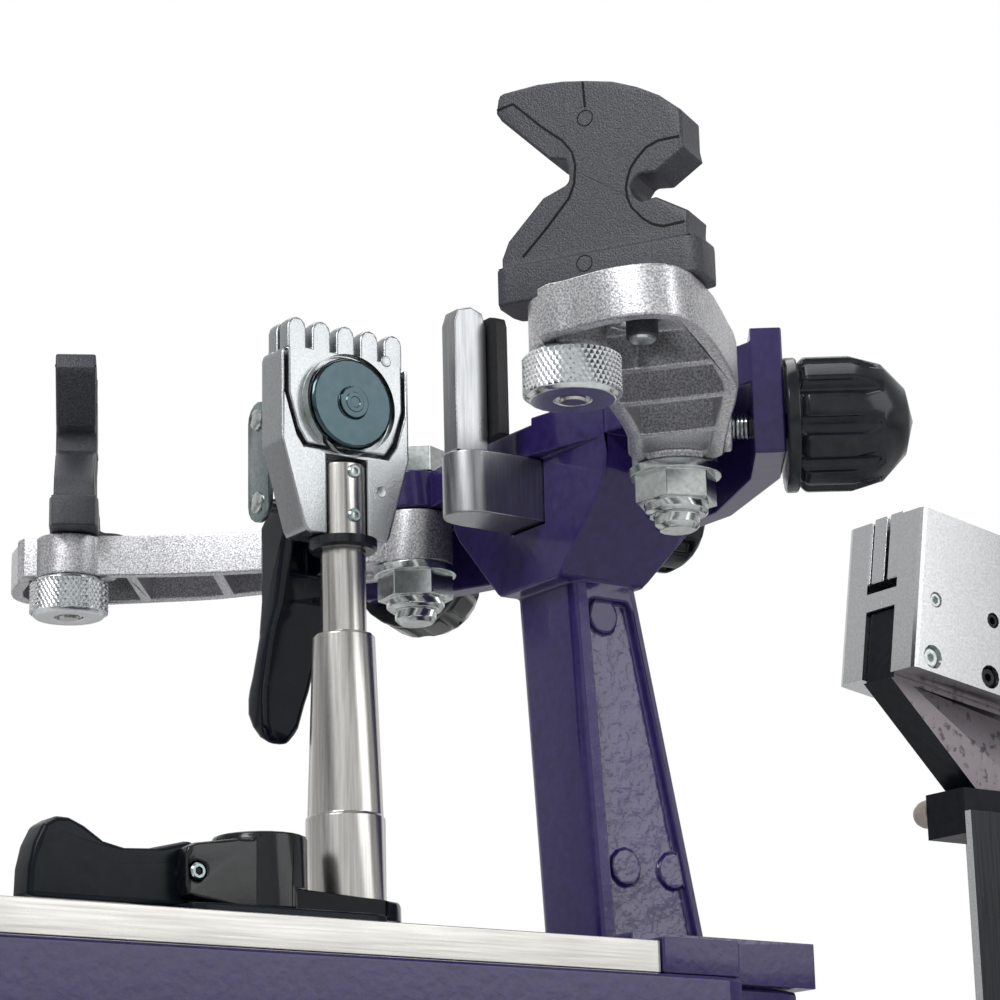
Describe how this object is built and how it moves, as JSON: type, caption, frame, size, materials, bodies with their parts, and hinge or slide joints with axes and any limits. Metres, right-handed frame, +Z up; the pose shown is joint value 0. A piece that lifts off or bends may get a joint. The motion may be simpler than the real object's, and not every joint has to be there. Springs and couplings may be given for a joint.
{
  "type": "racket stringing machine",
  "caption": "Table-top racket stringing machine: swivelling frame mounts on a turntable, sliding string clamps and a crank-driven tension head on a rail.",
  "frame": {"origin": "centre of the overall box at the table surface", "axes": "+X along the base towards the tension head, +Y away from the crank, +Z up"},
  "size_m": [0.8388, 0.35, 0.4017],
  "materials": {
    "purple_paint": "gloss",
    "cast_metal": "satin",
    "brushed_steel": "brushed",
    "zinc_plate": "satin",
    "chrome": "gloss",
    "black_plastic": "gloss",
    "matt_plastic": "matte",
    "black_paint": "gloss",
    "dark_metal": "satin",
    "sole_rubber": "matte",
    "pad_rubber": "matte"
  },
  "bodies": {
    "base": {"base_frame": "purple_paint", "foot_tail": "sole_rubber", "foot_head": "sole_rubber", "tension_rail": "brushed_steel"},
    "brake": {"brake_knob": "black_plastic"},
    "turntable": {"turntable": "purple_paint", "glide_plate": "brushed_steel", "mast_head": "purple_paint", "pivot_bolt_head_near": "zinc_plate", "pivot_bolt_head_far": "zinc_plate", "mast_throat": "purple_paint", "pivot_bolt_throat_near": "zinc_plate", "pivot_bolt_throat_far": "zinc_plate"},
    "support_head": {"support_head": "cast_metal", "support_pad_head": "pad_rubber"},
    "lock_knob_head": {"lock_knob_head": "black_plastic"},
    "arm_head_near": {"arm_head_near": "cast_metal"},
    "k_block_head_near": {"k_block_head_near": "matt_plastic"},
    "thumb_screw_head_near": {"thumb_screw_head_near": "zinc_plate"},
    "screw_knob_head_near": {"screw_knob_head_near": "black_plastic"},
    "arm_head_far": {"arm_head_far": "cast_metal"},
    "k_block_head_far": {"k_block_head_far": "matt_plastic"},
    "thumb_screw_head_far": {"thumb_screw_head_far": "zinc_plate"},
    "screw_knob_head_far": {"screw_knob_head_far": "black_plastic"},
    "shoe_head": {"shoe_head": "black_paint"},
    "swing_head": {"swing_arm_head": "black_paint", "post_head": "brushed_steel", "clamp_head_head": "cast_metal"},
    "cam_lever_head": {"cam_lever_head": "black_paint"},
    "jaw_head": {"jaw_head": "cast_metal"},
    "grip_disc_head": {"grip_disc_head": "zinc_plate"},
    "handle_head": {"handle_head": "black_plastic"},
    "support_throat": {"support_throat": "cast_metal", "support_pad_throat": "pad_rubber"},
    "lock_knob_throat": {"lock_knob_throat": "black_plastic"},
    "arm_throat_near": {"arm_throat_near": "cast_metal"},
    "k_block_throat_near": {"k_block_throat_near": "matt_plastic"},
    "thumb_screw_throat_near": {"thumb_screw_throat_near": "zinc_plate"},
    "screw_knob_throat_near": {"screw_knob_throat_near": "black_plastic"},
    "arm_throat_far": {"arm_throat_far": "cast_metal"},
    "k_block_throat_far": {"k_block_throat_far": "matt_plastic"},
    "thumb_screw_throat_far": {"thumb_screw_throat_far": "zinc_plate"},
    "screw_knob_throat_far": {"screw_knob_throat_far": "black_plastic"},
    "shoe_throat": {"shoe_throat": "black_paint"},
    "swing_throat": {"swing_arm_throat": "black_paint", "post_throat": "brushed_steel", "clamp_head_throat": "cast_metal"},
    "cam_lever_throat": {"cam_lever_throat": "black_paint"},
    "jaw_throat": {"jaw_throat": "cast_metal"},
    "grip_disc_throat": {"grip_disc_throat": "zinc_plate"},
    "handle_throat": {"handle_throat": "black_plastic"},
    "carriage": {"carriage": "cast_metal", "side_bracket": "chrome"},
    "rocker": {"rocker": "dark_metal", "gripper_body": "chrome"},
    "gripper_jaw_near": {"gripper_jaw_near": "brushed_steel"},
    "gripper_jaw_far": {"gripper_jaw_far": "brushed_steel"},
    "tension_knob": {"tension_knob": "black_plastic"},
    "crank": {"crank_arm": "zinc_plate"},
    "crank_grip": {"crank_grip": "black_plastic"}
  },
  "joints": [
    {"name": "turntable_spin", "type": "hinge", "parent": "base", "child": "turntable", "pos_m": [-0.1966, 0, 0.15], "axis": [0, 0, 1], "continuous": true},
    {"name": "brake_turn", "type": "hinge", "parent": "base", "child": "brake", "pos_m": [-0.1966, -0.06, 0.138], "axis": [0, -1, 0], "range_deg": [-360, 60]},
    {"name": "support_head_slide", "type": "slide", "parent": "turntable", "child": "support_head", "axis": [1, 0, 0], "range_m": [-0.008, 0.0065]},
    {"name": "lock_knob_head_turn", "type": "hinge", "parent": "turntable", "child": "lock_knob_head", "pos_m": [0.0174, 0, 0.343], "axis": [1, 0, 0], "range_deg": [-720.1, 720.1]},
    {"name": "arm_head_near_swing", "type": "hinge", "parent": "turntable", "child": "arm_head_near", "pos_m": [-0.0266, -0.06025, 0.345], "axis": [0, 0, -1], "range_deg": [-4, 4]},
    {"name": "screw_knob_head_near_turn", "type": "hinge", "parent": "turntable", "child": "screw_knob_head_near", "pos_m": [-0.00002, -0.09523, 0.3436], "axis": [0.7986, -0.6018, 0], "range_deg": [-300.1, 300.1]},
    {"name": "k_block_head_near_swivel", "type": "hinge", "parent": "arm_head_near", "child": "k_block_head_near", "pos_m": [-0.10587, -0.12219, 0.352], "axis": [0, 0, -1], "range_deg": [-13, 13]},
    {"name": "thumb_screw_head_near_turn", "type": "hinge", "parent": "k_block_head_near", "child": "thumb_screw_head_near", "pos_m": [-0.10587, -0.12219, 0.33], "axis": [0, 0, 1], "range_deg": [-360, 30]},
    {"name": "arm_head_far_swing", "type": "hinge", "parent": "turntable", "child": "arm_head_far", "pos_m": [-0.0266, 0.06025, 0.345], "axis": [0, 0, 1], "range_deg": [-4, 4]},
    {"name": "screw_knob_head_far_turn", "type": "hinge", "parent": "turntable", "child": "screw_knob_head_far", "pos_m": [-0.00002, 0.09523, 0.3436], "axis": [0.7986, 0.6018, 0], "range_deg": [-300.1, 300.1]},
    {"name": "k_block_head_far_swivel", "type": "hinge", "parent": "arm_head_far", "child": "k_block_head_far", "pos_m": [-0.10587, 0.12219, 0.352], "axis": [0, 0, 1], "range_deg": [-13, 13]},
    {"name": "thumb_screw_head_far_turn", "type": "hinge", "parent": "k_block_head_far", "child": "thumb_screw_head_far", "pos_m": [-0.10587, 0.12219, 0.33], "axis": [0, 0, 1], "range_deg": [-360, 30]},
    {"name": "shoe_head_slide", "type": "slide", "parent": "turntable", "child": "shoe_head", "axis": [1, 0, 0], "range_m": [-0.014, 0.006]},
    {"name": "swing_head_turn", "type": "hinge", "parent": "shoe_head", "child": "swing_head", "pos_m": [-0.1151, 0, 0.228], "axis": [0, 0, 1], "range_deg": [-100, 100]},
    {"name": "cam_lever_head_lift", "type": "hinge", "parent": "swing_head", "child": "cam_lever_head", "pos_m": [-0.1381, 0, 0.2319], "axis": [0, 1, 0], "range_deg": [0, 60]},
    {"name": "handle_head_swing", "type": "hinge", "parent": "swing_head", "child": "handle_head", "pos_m": [-0.0842, 0.0236, 0.336], "axis": [1, 0, 0], "range_deg": [-16, 0]},
    {"name": "jaw_head_slide", "type": "slide", "parent": "swing_head", "child": "jaw_head", "axis": [0, 1, 0], "range_m": [0, 0.0009]},
    {"name": "grip_disc_head_turn", "type": "hinge", "parent": "swing_head", "child": "grip_disc_head", "pos_m": [-0.0842, 0.0006, 0.3619], "axis": [0, -1, 0], "range_deg": [-180, 180]},
    {"name": "support_throat_slide", "type": "slide", "parent": "turntable", "child": "support_throat", "axis": [-1, 0, 0], "range_m": [-0.008, 0.0065]},
    {"name": "lock_knob_throat_turn", "type": "hinge", "parent": "turntable", "child": "lock_knob_throat", "pos_m": [-0.4106, 0, 0.343], "axis": [-1, 0, 0], "range_deg": [-720.1, 720.1]},
    {"name": "arm_throat_near_swing", "type": "hinge", "parent": "turntable", "child": "arm_throat_near", "pos_m": [-0.3666, 0.06025, 0.345], "axis": [0, 0, -1], "range_deg": [-4, 4]},
    {"name": "screw_knob_throat_near_turn", "type": "hinge", "parent": "turntable", "child": "screw_knob_throat_near", "pos_m": [-0.39318, 0.09523, 0.3436], "axis": [-0.7986, 0.6018, 0], "range_deg": [-300.1, 300.1]},
    {"name": "k_block_throat_near_swivel", "type": "hinge", "parent": "arm_throat_near", "child": "k_block_throat_near", "pos_m": [-0.28733, 0.12219, 0.352], "axis": [0, 0, -1], "range_deg": [-13, 13]},
    {"name": "thumb_screw_throat_near_turn", "type": "hinge", "parent": "k_block_throat_near", "child": "thumb_screw_throat_near", "pos_m": [-0.28733, 0.12219, 0.33], "axis": [0, 0, 1], "range_deg": [-360, 30]},
    {"name": "arm_throat_far_swing", "type": "hinge", "parent": "turntable", "child": "arm_throat_far", "pos_m": [-0.3666, -0.06025, 0.345], "axis": [0, 0, 1], "range_deg": [-4, 4]},
    {"name": "screw_knob_throat_far_turn", "type": "hinge", "parent": "turntable", "child": "screw_knob_throat_far", "pos_m": [-0.39318, -0.09523, 0.3436], "axis": [-0.7986, -0.6018, 0], "range_deg": [-300.1, 300.1]},
    {"name": "k_block_throat_far_swivel", "type": "hinge", "parent": "arm_throat_far", "child": "k_block_throat_far", "pos_m": [-0.28733, -0.12219, 0.352], "axis": [0, 0, 1], "range_deg": [-13, 13]},
    {"name": "thumb_screw_throat_far_turn", "type": "hinge", "parent": "k_block_throat_far", "child": "thumb_screw_throat_far", "pos_m": [-0.28733, -0.12219, 0.33], "axis": [0, 0, 1], "range_deg": [-360, 30]},
    {"name": "shoe_throat_slide", "type": "slide", "parent": "turntable", "child": "shoe_throat", "axis": [-1, 0, 0], "range_m": [-0.014, 0.006]},
    {"name": "swing_throat_turn", "type": "hinge", "parent": "shoe_throat", "child": "swing_throat", "pos_m": [-0.2781, 0, 0.228], "axis": [0, 0, 1], "range_deg": [-100, 100]},
    {"name": "cam_lever_throat_lift", "type": "hinge", "parent": "swing_throat", "child": "cam_lever_throat", "pos_m": [-0.2551, 0, 0.2319], "axis": [0, -1, 0], "range_deg": [0, 60]},
    {"name": "handle_throat_swing", "type": "hinge", "parent": "swing_throat", "child": "handle_throat", "pos_m": [-0.309, -0.0236, 0.336], "axis": [-1, 0, 0], "range_deg": [-16, 0]},
    {"name": "jaw_throat_slide", "type": "slide", "parent": "swing_throat", "child": "jaw_throat", "axis": [0, -1, 0], "range_m": [0, 0.0009]},
    {"name": "grip_disc_throat_turn", "type": "hinge", "parent": "swing_throat", "child": "grip_disc_throat", "pos_m": [-0.309, -0.0006, 0.3619], "axis": [0, 1, 0], "range_deg": [-180, 180]},
    {"name": "carriage_slide", "type": "slide", "parent": "base", "child": "carriage", "axis": [1, 0, 0], "range_m": [-0.03, 0.2]},
    {"name": "crank_turn", "type": "hinge", "parent": "carriage", "child": "crank", "pos_m": [0.1554, -0.06, 0.165], "axis": [0, 1, 0], "range_deg": [-86.1, 573.1]},
    {"name": "crank_grip_spin", "type": "hinge", "parent": "crank", "child": "crank_grip", "pos_m": [0.2554, -0.12, 0.165], "axis": [0, 1, 0], "continuous": true},
    {"name": "rocker_tilt", "type": "hinge", "parent": "carriage", "child": "rocker", "pos_m": [0.1554, 0, 0.248], "axis": [0, 1, 0], "range_deg": [-5, 0], "stiffness_Nm_per_rad": 40, "springref_deg": 2.86},
    {"name": "gripper_jaw_near_slide", "type": "slide", "parent": "rocker", "child": "gripper_jaw_near", "axis": [0, 1, 0], "range_m": [0, 0.0005]},
    {"name": "gripper_jaw_far_slide", "type": "slide", "parent": "rocker", "child": "gripper_jaw_far", "axis": [0, -1, 0], "range_m": [0, 0.0005]},
    {"name": "tension_knob_turn", "type": "hinge", "parent": "carriage", "child": "tension_knob", "pos_m": [0.2334, 0, 0.208], "axis": [1, 0, 0], "range_deg": [-720, 720]}
  ],
  "couplings": [
    {"joint": "lock_knob_head_turn", "follows": "support_head_slide", "rad_per_m": 1570.8},
    {"joint": "screw_knob_head_near_turn", "follows": "arm_head_near_swing", "ratio": 75},
    {"joint": "screw_knob_head_far_turn", "follows": "arm_head_far_swing", "ratio": 75},
    {"joint": "jaw_head_slide", "follows": "handle_head_swing", "m_per_rad": -0.0028},
    {"joint": "lock_knob_throat_turn", "follows": "support_throat_slide", "rad_per_m": 1570.8},
    {"joint": "screw_knob_throat_near_turn", "follows": "arm_throat_near_swing", "ratio": 75},
    {"joint": "screw_knob_throat_far_turn", "follows": "arm_throat_far_swing", "ratio": 75},
    {"joint": "jaw_throat_slide", "follows": "handle_throat_swing", "m_per_rad": -0.0028},
    {"joint": "crank_turn", "follows": "carriage_slide", "rad_per_m": 50},
    {"joint": "gripper_jaw_far_slide", "follows": "gripper_jaw_near_slide", "ratio": 1}
  ]
}
